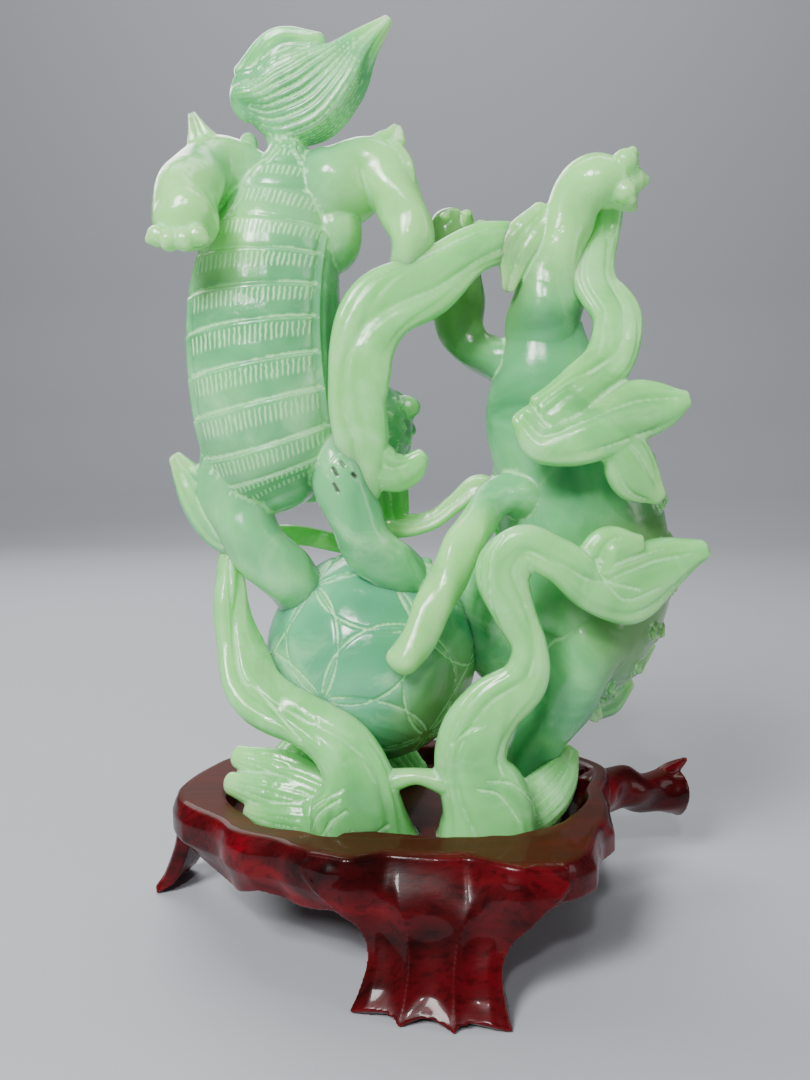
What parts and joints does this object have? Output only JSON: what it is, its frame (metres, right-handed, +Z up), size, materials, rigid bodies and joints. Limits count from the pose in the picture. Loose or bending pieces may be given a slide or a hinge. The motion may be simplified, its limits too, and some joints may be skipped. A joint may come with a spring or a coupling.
{
  "type": "jade foo dog carving on stand",
  "caption": "Carved green jade group of two playful foo dogs upside down over a brocade ball, wound with flowing ribbons, resting on a carved dark wood stand.",
  "frame": {"origin": "centre of the underside of the bounding box, on the surface that the stand's feet rest on", "axes": "+Z up, +X to the right of someone facing the bellies, +Y away from them"},
  "size_m": [0.1968, 0.1456, 0.2886],
  "materials": {
    "jade": "polished translucent serpentine jade, pale green with milky clouds and frosted carved lines",
    "rosewood": "dark red-brown hardwood under glossy lacquer"
  },
  "bodies": {
    "root": {"jade_carving": "jade", "wood_stand": "rosewood"}
  },
  "joints": []
}
